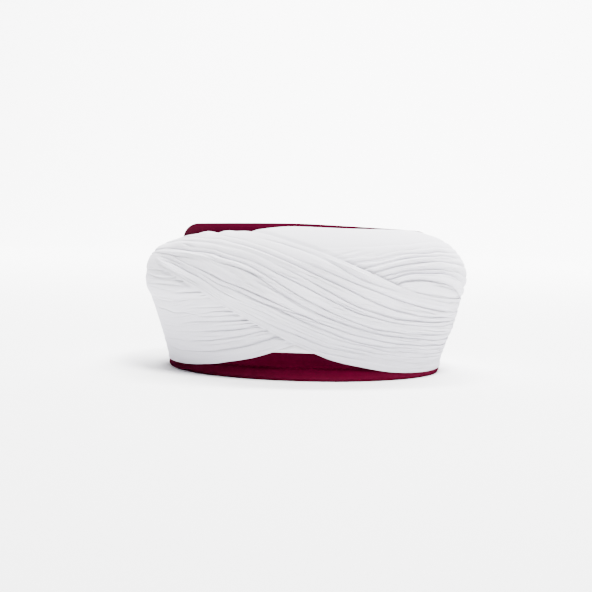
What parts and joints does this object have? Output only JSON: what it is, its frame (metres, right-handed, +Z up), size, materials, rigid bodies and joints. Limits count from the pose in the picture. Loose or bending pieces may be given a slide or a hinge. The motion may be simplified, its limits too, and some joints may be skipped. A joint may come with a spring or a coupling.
{
  "type": "wrapped turban",
  "caption": "White muslin turban wound in wide crossing pleated passes round a low crimson felt cap, resting on its rim.",
  "frame": {"origin": "centre of the bounding box on the floor, in the plane of the cap's rim", "axes": "+Z up through the crown, +Y towards the back of the head, +X to the viewer's right; the front faces -Y"},
  "size_m": [0.2176, 0.2299, 0.0966],
  "materials": {
    "crimson_felt": "dense brushed wool felt, crimson",
    "muslin_under": "fine plain-weave cotton muslin, white",
    "muslin_rising": "fine plain-weave cotton muslin, white",
    "muslin_falling": "fine plain-weave cotton muslin, white"
  },
  "bodies": {
    "root": {"felt_cap": "crimson_felt", "under_wrap": "muslin_under", "rising_pass": "muslin_rising", "falling_pass": "muslin_falling"}
  },
  "joints": []
}
